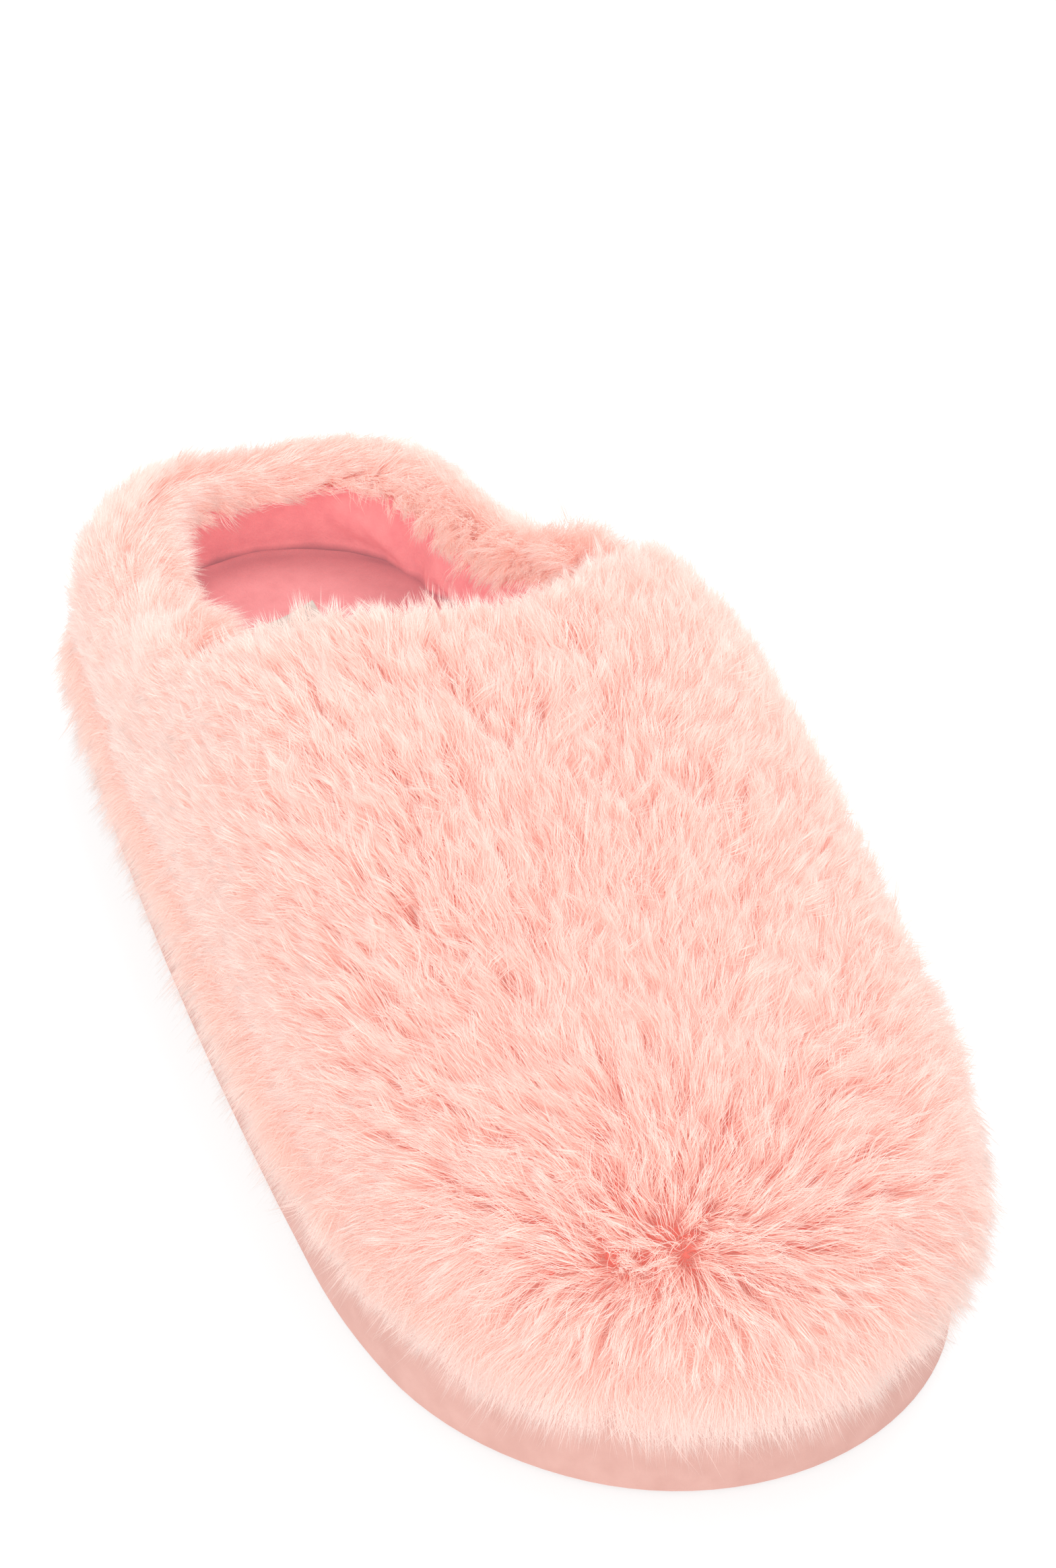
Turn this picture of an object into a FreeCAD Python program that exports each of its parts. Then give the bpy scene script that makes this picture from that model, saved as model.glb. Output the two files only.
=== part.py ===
"""Fluffy house slipper, right foot: a foam platform in a suede wrap, and a lined long-pile fur upper.

Millimetres. The toe points to -Y, the heel to +Y, +X is the inner (big toe) side and +Z is up.
The origin is on the floor, under the middle of the sole.
"""

import FreeCAD, Part
import math
import os

import Sketcher
from FreeCAD import Placement, Rotation, Vector

# Every driving dimension, as (alias, value, meaning). Lengths in millimetres, angles in degrees.
DIMENSIONS = [
    ("heel_radius", 42.5, "outline: round of the heel"),
    ("ball_out_radius", 126, "outline: outer side of the ball"),
    ("toe_out_radius", 57, "outline: outer side of the toe"),
    ("toe_radius", 45, "outline: tip of the toe"),
    ("ball_in_radius", 73, "outline: inner side of the ball"),
    ("heel_turn", 8, "angle by which the heel round passes half a circle's square-on sides"),
    ("side_out_end", 178.2, "direction faced where the outer side arc meets the ball"),
    ("ball_out_end", 190.6, "direction faced where the outer ball meets the toe"),
    ("toe_out_end", 228.5, "direction faced where the toe's outer side meets its tip"),
    ("toe_end", 324, "direction faced where the toe's tip meets the inner ball"),
    ("ball_in_end", 353.7, "direction faced where the inner ball meets the inner side arc"),
    ("outsole_thickness", 3.6, "rubber plate"),
    ("outsole_inset", 1.4, "rubber plate, in from the wrap's outer face"),
    ("tread_depth", 1.4, "cross grooves in the rubber"),
    ("tread_width", 3, "cross grooves in the rubber"),
    ("tread_length", 52, "cross grooves in the rubber"),
    ("tread_spacing", 13, "cross grooves in the rubber"),
    ("tread_count", 16, "cross grooves in the rubber"),
    ("midsole_thickness", 18.8, "foam platform"),
    ("board_bottom", 22.5, "insole board"),
    ("board_thickness", 1.3, "insole board"),
    ("board_inset", 3, "insole board"),
    ("wrap_bottom", 0.8, "lower edge of the suede wrap"),
    ("wrap_top", 25.2, "top of the platform"),
    ("wrap_thickness", 1.2, "suede wrap"),
    ("wrap_flange", 10, "width of the wrap turned in over the platform"),
    ("foam_top", 28.2, "top of the footbed foam"),
    ("cover_bottom", 28.3, "footbed cover"),
    ("cover_top", 30.2, "footbed cover"),
    ("upper_foot", 25.4, "lower edge of the layers lasted onto the platform"),
    ("fur_overhang", 1.5, "fur, out from the platform's side"),
    ("fur_hem", 12, "lowest level of the fur over the wrap"),
    ("fur_widest", 18.5, "level up to which the fur hangs straight down"),
    ("fur_thickness", 7.7, "backing and pile together"),
    ("stiffener_thickness", 1.2, "toe puff and heel counter"),
    ("vamp_padding_thickness", 3, "soft interlining of the vamp"),
    ("heel_padding_thickness", 5.1, "collar foam"),
    ("lining_thickness", 1.8, "plush lining"),
    ("tape_thickness", 0.6, "stay tape on top of the collar foam"),
    ("shoulder_thickness", 7.5, "least thickness of the fur where the collar rises to the throat"),
    ("roll_inset", 16, "edge of the foot opening, in from the outline"),
    ("roll_thickness", 13.5, "fur rolled over the topline"),
    ("heel_height", 58, "top of the fur at the heel and along the collar"),
    ("throat_height", 89, "top of the fur at the throat"),
    ("toe_height", 58, "top of the fur over the toes"),
    ("collar_front", 74, "Y where the collar starts to rise to the throat"),
    ("throat_front", -8, "Y of the throat's front edge"),
    ("vamp_foot", -90, "Y where the instep has come down to the toe's height"),
    ("square_front", 16, "Y where the cross-sections start to grow square"),
    ("square_back", 44, "Y where the cross-sections are as square as the collar"),
    ("side_seam", 30, "Y of the seams between vamp and heel piece"),
    ("seam_gap", 1, "room for the thread between vamp and heel piece"),
    ("seam_depth", 7, "side seam threads, in from the outline"),
    ("puff_back", -62, "Y of the toe puff's back edge"),
    ("counter_front", 58, "Y of the heel counter's front edges"),
    ("counter_drop", 15, "top of the heel counter, down from the fur's crest"),
    ("toe_round", 44, "length over which the toe rounds down"),
    ("heel_round", 42, "length over which the heel rounds down"),
    ("thread_radius", 0.45, "sewing thread"),
    ("thread_drop", 4, "topline thread, down from the fur rolled over it"),
    ("stitch_length", 3.2, "visible part of a stitch"),
    ("stitch_pitch", 4.8, "from one stitch to the next"),
    ("label_width", 24, "footbed label"),
    ("label_length", 34, "footbed label"),
    ("label_thickness", 0.5, "footbed label"),
    ("label_x", -6, "middle of the label"),
    ("label_y", 68, "middle of the label"),
    ("label_corner", 2, "round of the label's corners"),
]

VAMP_EXPONENT = 3.4      # squareness of the vamp's cross-section
COLLAR_EXPONENT = 4.4    # squareness of the collar's cross-section
TOE_EXPONENT = 2.4       # how bluntly the toe rounds down
HEEL_EXPONENT = 3.2      # how bluntly the heel rounds down
STATIONS = 22            # cross-sections along each lofted shell
SECTION_POINTS = 12      # points over each cross-section
END_STEP = 0.35          # how far inside its end a loft's first section lies
CLEARANCE = 0.2          # between layers that lie on each other
DOME_BASE = 20.0         # level that the inner layers' rounding starts from, inside the platform
TOPLINE_STEPS = 20       # points along the topline's side view
TOPLINE_MARGIN = 5.0     # that view starts and stops this far before the seam and before the heel's end
THROAT_REACH = 32.0      # from the throat's front edge back to where the opening is as wide as it gets
WRAP_SHARE = 0.3         # the most of its outline's volume that the hollow wrap may fill
TALL = 200.0             # taller and wider than anything here

doc = FreeCAD.newDocument("slipper")
sheet = doc.addObject("Spreadsheet::Sheet", "dims")
for row, (alias, value, meaning) in enumerate(DIMENSIONS, start=1):
    sheet.set(f"A{row}", meaning)
    sheet.set(f"B{row}", str(value))
    sheet.setAlias(f"B{row}", alias)
doc.recompute()
D = {alias: float(sheet.get(alias)) for alias, _, _ in DIMENSIONS}

parts = []


# ---------------------------------------------------------------- the sole's outline

def facing(degrees):
    return Vector(math.cos(math.radians(degrees)), math.sin(math.radians(degrees)), 0)


def outline_arcs():
    """The outline as (centre, radius, start, end), anticlockwise from the heel's outer side.

    Each arc runs between two directions that the outline faces, so neighbours are tangent. The two
    long side arcs take the radii that close the outline.
    """
    turns = [180 - D["heel_turn"], D["side_out_end"], D["ball_out_end"], D["toe_out_end"], D["toe_end"],
             D["ball_in_end"], 360 + D["heel_turn"], 540 - D["heel_turn"]]
    radii = [0, D["ball_out_radius"], D["toe_out_radius"], D["toe_radius"], D["ball_in_radius"], 0,
             D["heel_radius"]]
    chords = [facing(end) - facing(start) for start, end in zip(turns, turns[1:])]
    gap = Vector()
    for radius, chord in zip(radii, chords):
        gap += chord * radius
    outer, inner = chords[0], chords[5]
    cross = outer.x * inner.y - outer.y * inner.x
    radii[0] = (gap.y * inner.x - gap.x * inner.y) / cross
    radii[5] = (gap.x * outer.y - gap.y * outer.x) / cross
    arcs = []
    point = Vector()
    for radius, start, end in zip(radii, turns, turns[1:]):
        centre = point - facing(start) * radius
        arcs.append((centre, radius, start, end))
        point = centre + facing(end) * radius
    middle = Vector((reach(arcs, 360) - reach(arcs, 180)) / 2, (reach(arcs, 450) - reach(arcs, 270)) / 2, 0)
    return [(centre - middle, radius, start, end) for centre, radius, start, end in arcs]


def reach(arcs, direction):
    """How far the outline goes from the origin in one direction."""
    for centre, radius, start, end in arcs:
        if start <= direction <= end:
            return centre.dot(facing(direction)) + radius
    raise ValueError(f"the outline never faces {direction} degrees")


ARCS = outline_arcs()
TOE_Y = -reach(ARCS, 270)
HEEL_Y = reach(ARCS, 450)


def arc_edges(inset):
    """The outline's arcs, all moved in by inset about their own centres."""
    edges = []
    for centre, radius, start, end in ARCS:
        r = radius - inset
        ends = [centre + facing(angle) * r for angle in (start, (start + end) / 2, end)]
        edges.append(Part.Arc(*ends))
    return edges


def half_widths(y, inset):
    """X of the outline, moved in by inset, on its outer and inner side at one Y."""
    found = {}
    for centre, radius, start, end in ARCS:
        r = radius - inset
        sine = (y - centre.y) / r
        if abs(sine) > 1:
            continue
        base = math.degrees(math.asin(sine))
        for angle in (base, 180 - base):
            for turned in (angle, angle + 360):
                if start - 1e-6 <= turned <= end + 1e-6:
                    side = "outer" if 90 < turned % 360 < 270 else "inner"
                    found[side] = centre.x + r * math.cos(math.radians(turned))
    return found["outer"], found["inner"]


# ---------------------------------------------------------------- the upper's heights

def smooth(t):
    t = min(max(t, 0.0), 1.0)
    return t * t * (3 - 2 * t)


def crest(y):
    """Top of the fur along the slipper's middle, before the ends round down."""
    if y >= D["throat_front"]:
        rise = smooth((D["collar_front"] - y) / (D["collar_front"] - D["throat_front"]))
        return D["heel_height"] + (D["throat_height"] - D["heel_height"]) * rise
    rise = smooth((y - D["vamp_foot"]) / (D["throat_front"] - D["vamp_foot"]))
    return D["toe_height"] + (D["throat_height"] - D["toe_height"]) * rise


def end_round(y, inset):
    """1 along the slipper, falling to 0 at the toe's and the heel's ends."""
    toe = min((y - TOE_Y - inset) / D["toe_round"], 1)
    heel = min((HEEL_Y - inset - y) / D["heel_round"], 1)
    toe_part = (1 - (1 - toe) ** TOE_EXPONENT) ** (1 / TOE_EXPONENT)
    heel_part = (1 - (1 - heel) ** HEEL_EXPONENT) ** (1 / HEEL_EXPONENT)
    return toe_part * heel_part


def topline(y):
    """Top of the fur along the collar, rounded down towards the heel's end."""
    return D["fur_widest"] + (crest(y) - D["fur_widest"]) * end_round(y, 0)


def section(y, inset, drop, widest):
    """One closed upright cross-section: straight sides from the hem up, and a superellipse over them."""
    outer, inner = half_widths(y, inset)
    top = (crest(y) - drop - widest) * end_round(y, inset)
    squareness = smooth((y - D["square_front"]) / (D["square_back"] - D["square_front"]))
    exponent = 2 / (VAMP_EXPONENT + (COLLAR_EXPONENT - VAMP_EXPONENT) * squareness)
    points = []
    for step in range(SECTION_POINTS + 1):
        angle = math.pi * step / SECTION_POINTS
        across = math.copysign(abs(math.cos(angle)) ** exponent, math.cos(angle))
        up = max(math.sin(angle), 0) ** exponent
        x = (outer + inner) / 2 + across * (inner - outer) / 2
        points.append(Vector(x, y, widest + top * up))
    over = Part.BSplineCurve()
    over.interpolate(points)
    corners = [points[-1], Vector(outer, y, D["fur_hem"]), Vector(inner, y, D["fur_hem"]), points[0]]
    sides = [Part.makeLine(start, end) for start, end in zip(corners, corners[1:])]
    return Part.Wire([over.toShape()] + sides)


def dome(inset, drop, widest):
    """A closed solid over the whole sole: sections of the moved-in outline, drop below the fur."""
    first = TOE_Y + inset + END_STEP
    last = HEEL_Y - inset - END_STEP
    wires = []
    for step in range(STATIONS):
        along = (1 - math.cos(math.pi * step / (STATIONS - 1))) / 2
        wires.append(section(first + (last - first) * along, inset, drop, widest))
    return Part.makeLoft(wires, True, False)


# ---------------------------------------------------------------- solids to cut with

def prism(inset, bottom, top):
    """The outline, moved in by inset, as an upright solid."""
    wire = Part.Wire([arc.toShape() for arc in arc_edges(inset)])
    wire.translate(Vector(0, 0, bottom))
    return Part.Face(wire).extrude(Vector(0, 0, top - bottom))


def between(y_low, y_high, z_low=-TALL, z_high=TALL):
    box = Part.makeBox(2 * TALL, y_high - y_low, z_high - z_low)
    box.translate(Vector(-TALL, y_low, z_low))
    return box


def under_topline(drop):
    """Everything lower than the topline by drop, as a side view pushed across the slipper."""
    first = D["side_seam"] - TOPLINE_MARGIN
    length = HEEL_Y - TOPLINE_MARGIN - first
    ys = [first + length * step / TOPLINE_STEPS for step in range(TOPLINE_STEPS + 1)]
    points = [Vector(-TALL, y, topline(y) - drop) for y in ys]
    curve = Part.BSplineCurve()
    curve.interpolate(points)
    below = [Vector(-TALL, points[-1].y, -TALL), Vector(-TALL, points[0].y, -TALL)]
    corners = [points[-1], *below, points[0]]
    wire = Part.Wire([curve.toShape()] + [Part.makeLine(a, b) for a, b in zip(corners, corners[1:])])
    return Part.Face(wire).extrude(Vector(2 * TALL, 0, 0))


def foot_opening(inset):
    """The upright hole the foot goes in by: the moved-in outline with a round front at the throat."""
    front = D["throat_front"] + (inset - D["roll_inset"])
    outer, inner = half_widths(front + THROAT_REACH, inset)
    radius = (inner - outer) / 2
    centre_y = front + radius
    back = prism(inset, -TALL, TALL).common(between(centre_y, TALL))
    round_front = Part.makeCylinder(radius, 2 * TALL, Vector((outer + inner) / 2, centre_y, -TALL))
    return back.fuse(round_front.common(prism(inset, -TALL, TALL)))


# ---------------------------------------------------------------- document objects

def origin_feature(body, role):
    return next(item for item in body.Origin.OriginFeatures if item.Role == role)


def rectangle(sketch, x, y, width, length):
    """A rectangle centred on (x, y), its sides bound to two cells."""
    w = sketch.evalExpression(width) / 2
    l = sketch.evalExpression(length) / 2
    signs = [(-1, -1), (1, -1), (1, 1), (-1, 1)]
    corners = [Vector(x + w * across, y + l * along, 0) for across, along in signs]
    for start, end in zip(corners, corners[1:] + corners[:1]):
        sketch.addGeometry(Part.LineSegment(start, end), False)
    for side in range(4):
        sketch.addConstraint(Sketcher.Constraint("Coincident", side, 2, (side + 1) % 4, 1))
    for side, direction in enumerate(["Horizontal", "Vertical", "Horizontal", "Vertical"]):
        sketch.addConstraint(Sketcher.Constraint(direction, side))
    wide = sketch.addConstraint(Sketcher.Constraint("DistanceX", 0, 1, 0, 2, 2 * w))
    long = sketch.addConstraint(Sketcher.Constraint("DistanceY", 1, 1, 1, 2, 2 * l))
    sketch.addConstraint(Sketcher.Constraint("DistanceX", -1, 1, 0, 1, x - w))
    sketch.addConstraint(Sketcher.Constraint("DistanceY", -1, 1, 0, 1, y - l))
    sketch.setExpression(f"Constraints[{wide}]", width)
    sketch.setExpression(f"Constraints[{long}]", length)


def sketch_outline(body, inset, name):
    """A sketch on the body's own XY plane: the outline's seven tangent arcs, moved in by inset."""
    sketch = body.newObject("Sketcher::SketchObject", name)
    sketch.AttachmentSupport = [(origin_feature(body, "XY_Plane"), "")]
    sketch.MapMode = "FlatFace"
    edges = arc_edges(inset)
    for edge in edges:
        circle = edge.toShape().Curve
        first, last = edge.toShape().ParameterRange
        sketch.addGeometry(Part.ArcOfCircle(circle, first, last), False)
    for index in range(len(edges)):
        sketch.addConstraint(Sketcher.Constraint("Tangent", index, 2, (index + 1) % len(edges), 1))
    return sketch


def padded_body(label, inset, thickness, bottom):
    """A PartDesign body: the outline moved in by inset, padded by a cell, standing at a cell's level."""
    body = doc.addObject("PartDesign::Body", label)
    body.Label = label
    sketch = sketch_outline(body, inset, label + "_outline")
    pad = body.newObject("PartDesign::Pad", label + "_pad")
    pad.Profile = sketch
    pad.setExpression("Length", thickness)
    if bottom:
        body.setExpression("Placement.Base.z", bottom)
    doc.recompute()
    return body


def feature(label, shape):
    """A Part::Feature of a free-form shape, ready-made in place."""
    item = doc.addObject("Part::Feature", label)
    item.Label = label
    item.Shape = shape
    item.Placement = Placement(Vector(0, 0, 0), Rotation())
    parts.append(item)
    return item


def layer(outer, inner):
    """A vamp layer between two insets: dome in dome, from the platform's top up."""
    outside = dome(outer, outer + D["fur_overhang"], DOME_BASE)
    inside = dome(inner, inner + D["fur_overhang"], DOME_BASE)
    return outside.cut(inside)


def under_shoulder(thickness):
    """The room inside the fur's rounded shoulder, a given thickness down from its outer face."""
    return dome(thickness - D["fur_overhang"], thickness, DOME_BASE)


def wall(outer, inner, drop):
    """A heel layer between two insets: an upright wall whose top is drop below the fur's crest."""
    ring = prism(outer, D["upper_foot"], TALL).cut(prism(inner, D["upper_foot"] - 1, TALL + 1))
    return ring.common(under_topline(drop)).common(under_shoulder(D["shoulder_thickness"] + CLEARANCE))


VAMP_REGION = (-TALL, D["side_seam"] - D["seam_gap"] / 2)
HEEL_REGION = (D["side_seam"] + D["seam_gap"] / 2, TALL)
FUR_INNER = D["fur_thickness"] - D["fur_overhang"]
STIFFENER_OUTER = FUR_INNER + CLEARANCE
STIFFENER_INNER = STIFFENER_OUTER + D["stiffener_thickness"]
VAMP_PADDING_INNER = STIFFENER_OUTER + D["vamp_padding_thickness"]
VAMP_LINING_OUTER = VAMP_PADDING_INNER + CLEARANCE
VAMP_LINING_INNER = VAMP_LINING_OUTER + D["lining_thickness"]
HEEL_PADDING_INNER = STIFFENER_OUTER + D["heel_padding_thickness"]
HEEL_LINING_OUTER = HEEL_PADDING_INNER + CLEARANCE
HEEL_LINING_INNER = HEEL_LINING_OUTER + D["lining_thickness"]
FOOTBED_INSET = HEEL_LINING_INNER + CLEARANCE
OPENING = foot_opening(D["roll_inset"])


# ---------------------------------------------------------------- the sole unit

def outsole():
    body = padded_body("outsole", D["outsole_inset"], "dims.outsole_thickness", None)
    plain = body.Shape.Volume
    sketch = body.newObject("Sketcher::SketchObject", "tread_groove")
    sketch.AttachmentSupport = [(origin_feature(body, "XY_Plane"), "")]
    sketch.MapMode = "FlatFace"
    first = -D["tread_spacing"] * (D["tread_count"] - 1) / 2
    rectangle(sketch, 0, first, "dims.tread_length", "dims.tread_width")
    groove = body.newObject("PartDesign::Pocket", "tread_pocket")
    groove.Profile = sketch
    groove.Reversed = True
    groove.setExpression("Length", "dims.tread_depth")
    doc.recompute()
    pattern = body.newObject("PartDesign::LinearPattern", "tread_grooves")
    pattern.Originals = [groove]
    pattern.Direction = (origin_feature(body, "Y_Axis"), [""])
    pattern.setExpression("Length", "dims.tread_spacing * (dims.tread_count - 1)")
    pattern.setExpression("Occurrences", "dims.tread_count")
    body.Tip = pattern
    doc.recompute()
    removed = plain - body.Shape.Volume
    expected = D["tread_length"] * D["tread_width"] * D["tread_depth"] * D["tread_count"]
    if abs(removed - expected) > 1:
        raise RuntimeError(f"the tread grooves removed {removed:.0f} mm3, not {expected:.0f}")
    parts.append(body)


def midsole():
    inset = D["wrap_thickness"] + CLEARANCE / 2
    parts.append(padded_body("midsole", inset, "dims.midsole_thickness", "dims.outsole_thickness"))


def insole_board():
    parts.append(padded_body("insole_board", D["board_inset"], "dims.board_thickness", "dims.board_bottom"))


def sidewall_wrap():
    """The suede round the platform, with its top edge turned in as a flange."""
    body = padded_body("sidewall_wrap", 0, "dims.wrap_top - dims.wrap_bottom", "dims.wrap_bottom")
    full = body.Shape.Volume
    inside = sketch_outline(body, D["wrap_thickness"], "wrap_inside")
    hollow = body.newObject("PartDesign::Pocket", "wrap_hollow")
    hollow.Profile = inside
    hollow.Reversed = True
    hollow.setExpression("Length", "dims.wrap_top - dims.wrap_bottom - dims.wrap_thickness")
    mouth = sketch_outline(body, D["wrap_flange"], "wrap_mouth")
    opening = body.newObject("PartDesign::Pocket", "wrap_opening")
    opening.Profile = mouth
    opening.Reversed = True
    opening.setExpression("Length", "dims.wrap_top")
    body.Tip = opening
    doc.recompute()
    if body.Shape.Volume > WRAP_SHARE * full:
        raise RuntimeError("the wrap is not hollow")
    parts.append(body)


def footbed_layer(label, bottom, top):
    """A footbed layer: the footbed's outline, trimmed to the vamp's lining where the toe rounds down."""
    flat = prism(FOOTBED_INSET, bottom, top)
    in_heel = flat.common(between(D["side_seam"], TALL))
    in_vamp = flat.common(between(-TALL, D["side_seam"]))
    room = dome(FOOTBED_INSET, FOOTBED_INSET + D["fur_overhang"], DOME_BASE)
    feature(label, in_heel.fuse(in_vamp.common(room)).removeSplitter())


def footbed_label():
    body = doc.addObject("PartDesign::Body", "footbed_label")
    body.Label = "footbed_label"
    sketch = body.newObject("Sketcher::SketchObject", "label_outline")
    sketch.AttachmentSupport = [(origin_feature(body, "XY_Plane"), "")]
    sketch.MapMode = "FlatFace"
    rectangle(sketch, 0, 0, "dims.label_width", "dims.label_length")
    pad = body.newObject("PartDesign::Pad", "label_pad")
    pad.Profile = sketch
    pad.setExpression("Length", "dims.label_thickness")
    doc.recompute()
    fillet = body.newObject("PartDesign::Fillet", "label_corners")
    upright = [f"Edge{i + 1}" for i, edge in enumerate(pad.Shape.Edges) if abs(edge.tangentAt(0).z) > 0.9]
    fillet.Base = (pad, upright)
    fillet.setExpression("Radius", "dims.label_corner")
    body.setExpression("Placement.Base.x", "dims.label_x")
    body.setExpression("Placement.Base.y", "dims.label_y")
    body.setExpression("Placement.Base.z", "dims.cover_top")
    body.Tip = fillet
    doc.recompute()
    parts.append(body)


# ---------------------------------------------------------------- the upper

def fur_piece(label, region, hollow):
    """The pile's outer shape over one region, hollow inside, hanging over the platform's edge."""
    fur = dome(-D["fur_overhang"], 0, D["fur_widest"]).common(between(*region))
    platform = prism(-CLEARANCE, -TALL, D["upper_foot"])
    feature(label, fur.cut(hollow).cut(platform).cut(OPENING))


def vamp_piece(label, outer, inner, region=VAMP_REGION, room=None):
    shape = layer(outer, inner).common(between(*region, z_low=D["upper_foot"])).cut(OPENING)
    feature(label, shape.cut(room) if room else shape)


def heel_piece(label, outer, inner, drop, region=HEEL_REGION, room=None):
    shape = wall(outer, inner, drop).common(between(*region))
    feature(label, shape.cut(room) if room else shape)


def vamp():
    puff_region = (-TALL, D["puff_back"])
    puff_room = layer(STIFFENER_OUTER - 2 * CLEARANCE, STIFFENER_INNER + CLEARANCE)
    puff_room = puff_room.common(between(-TALL, D["puff_back"] + CLEARANCE))
    fur_piece("vamp_fur", VAMP_REGION, dome(FUR_INNER, D["fur_thickness"], DOME_BASE))
    vamp_piece("toe_puff", STIFFENER_OUTER, STIFFENER_INNER, region=puff_region)
    vamp_piece("vamp_padding", STIFFENER_OUTER, VAMP_PADDING_INNER, room=puff_room)
    vamp_piece("vamp_lining", VAMP_LINING_OUTER, VAMP_LINING_INNER)


def heel():
    roll = D["roll_thickness"]
    tape_drop = roll + CLEARANCE
    foam_drop = tape_drop + D["tape_thickness"] + CLEARANCE
    counter_region = (D["counter_front"], TALL)
    counter_room = wall(STIFFENER_OUTER - 2 * CLEARANCE, STIFFENER_INNER + CLEARANCE,
                        D["counter_drop"] - CLEARANCE)
    counter_room = counter_room.common(between(D["counter_front"] - CLEARANCE, TALL))
    under_roll = prism(FUR_INNER, D["upper_foot"] - 1, TALL).common(under_topline(roll))
    fur_piece("heel_fur", HEEL_REGION, under_roll.common(under_shoulder(D["shoulder_thickness"])))
    heel_piece("heel_counter", STIFFENER_OUTER, STIFFENER_INNER, D["counter_drop"], region=counter_region)
    heel_piece("heel_padding", STIFFENER_OUTER, HEEL_PADDING_INNER, foam_drop, room=counter_room)
    heel_piece("heel_lining", HEEL_LINING_OUTER, HEEL_LINING_INNER, tape_drop)
    tape = wall(STIFFENER_OUTER, HEEL_PADDING_INNER, tape_drop).cut(under_topline(foam_drop - CLEARANCE))
    feature("topline_tape", tape.common(between(*HEEL_REGION)))


# ---------------------------------------------------------------- the sewing

def stitch(middle, direction):
    """One visible stitch: a short round bar along a direction."""
    along = Vector(direction)
    along.normalize()
    start = middle - along * (D["stitch_length"] / 2)
    return Part.makeCylinder(D["thread_radius"], D["stitch_length"], start, along)


def stitched_line(start, end):
    """Evenly pitched stitches from one point to another."""
    run = end - start
    count = max(int(run.Length / D["stitch_pitch"]), 1)
    return [stitch(start + run * ((i + 0.5) / count), run) for i in range(count)]


def side_seam_thread(label, side):
    """The seam between vamp and heel piece, down one side of the slipper, in the gap between them."""
    x = half_widths(D["side_seam"], D["seam_depth"])[side]
    foot = Vector(x, D["side_seam"], D["upper_foot"] + 1)
    over = D["fur_thickness"]
    head = Vector(x, D["side_seam"], crest(D["side_seam"]) - 2 * over)
    feature(label, Part.makeCompound(stitched_line(foot, head)))


def topline_thread():
    """The seam that holds the rolled edge of the fur to the lining, round the inside of the collar."""
    inset = HEEL_LINING_INNER + D["thread_radius"] + CLEARANCE / 4
    stitches = []
    path = Part.Wire([arc.toShape() for arc in arc_edges(inset)])
    count = int(path.Length / D["stitch_pitch"])
    points = path.discretize(Number=count + 1)
    for before, after in zip(points, points[1:]):
        middle = (before + after) * 0.5
        if middle.y < D["side_seam"] + D["stitch_length"]:
            continue
        middle.z = topline(middle.y) - D["roll_thickness"] - D["thread_drop"]
        run = Vector(after - before)
        run.z = topline(after.y) - topline(before.y)
        stitches.append(stitch(middle, run))
    feature("topline_thread", Part.makeCompound(stitches))


def label_thread():
    """Stitches along the label's front edge and both sides; its back edge is loose."""
    margin = 1.6
    loose = 8
    z = D["cover_top"] + D["label_thickness"] + D["thread_radius"]
    x = D["label_width"] / 2 - margin
    y = D["label_length"] / 2 - margin
    middle = Vector(D["label_x"], D["label_y"], z)
    route = [(-x, y - loose), (-x, -y), (x, -y), (x, 0)]
    corners = [middle + Vector(across, along, 0) for across, along in route]
    stitches = []
    for start, end in zip(corners, corners[1:]):
        stitches += stitched_line(start, end)
    feature("label_thread", Part.makeCompound(stitches))


# ---------------------------------------------------------------- build, check and write

outsole()
midsole()
sidewall_wrap()
insole_board()
footbed_layer("footbed_foam", D["board_bottom"] + D["board_thickness"] + CLEARANCE, D["foam_top"])
footbed_layer("footbed_cover", D["cover_bottom"], D["cover_top"])
footbed_label()
vamp()
heel()
side_seam_thread("side_seam_thread_outer", 0)
side_seam_thread("side_seam_thread_inner", 1)
topline_thread()
label_thread()
doc.recompute()

for item in doc.Objects:
    if {"Invalid", "Error"} & set(item.State):
        raise RuntimeError(f"{item.Label} is {item.State}")
os.makedirs("parts", exist_ok=True)
for part in parts:
    shape = part.Shape
    if shape.isNull() or not shape.isValid():
        raise RuntimeError(f"{part.Label} has no valid shape")
    shape.exportStep(f"parts/{part.Label}.step")
    print(f"{part.Label}: {len(shape.Solids)} solids, {shape.Volume / 1000:.1f} cm3")
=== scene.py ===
"""Looks for the fluffy house slipper: long-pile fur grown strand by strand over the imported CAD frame.

Lengths in this file are millimetres until they reach Blender, where MM turns them into metres. Only
the lights and the camera are placed in metres.
The toe points to -Y, the heel to +Y, and +X is the slipper's inner side, as in the CAD model.
"""

import math

import bpy
import numpy as np
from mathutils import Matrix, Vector
from mathutils.kdtree import KDTree


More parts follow.
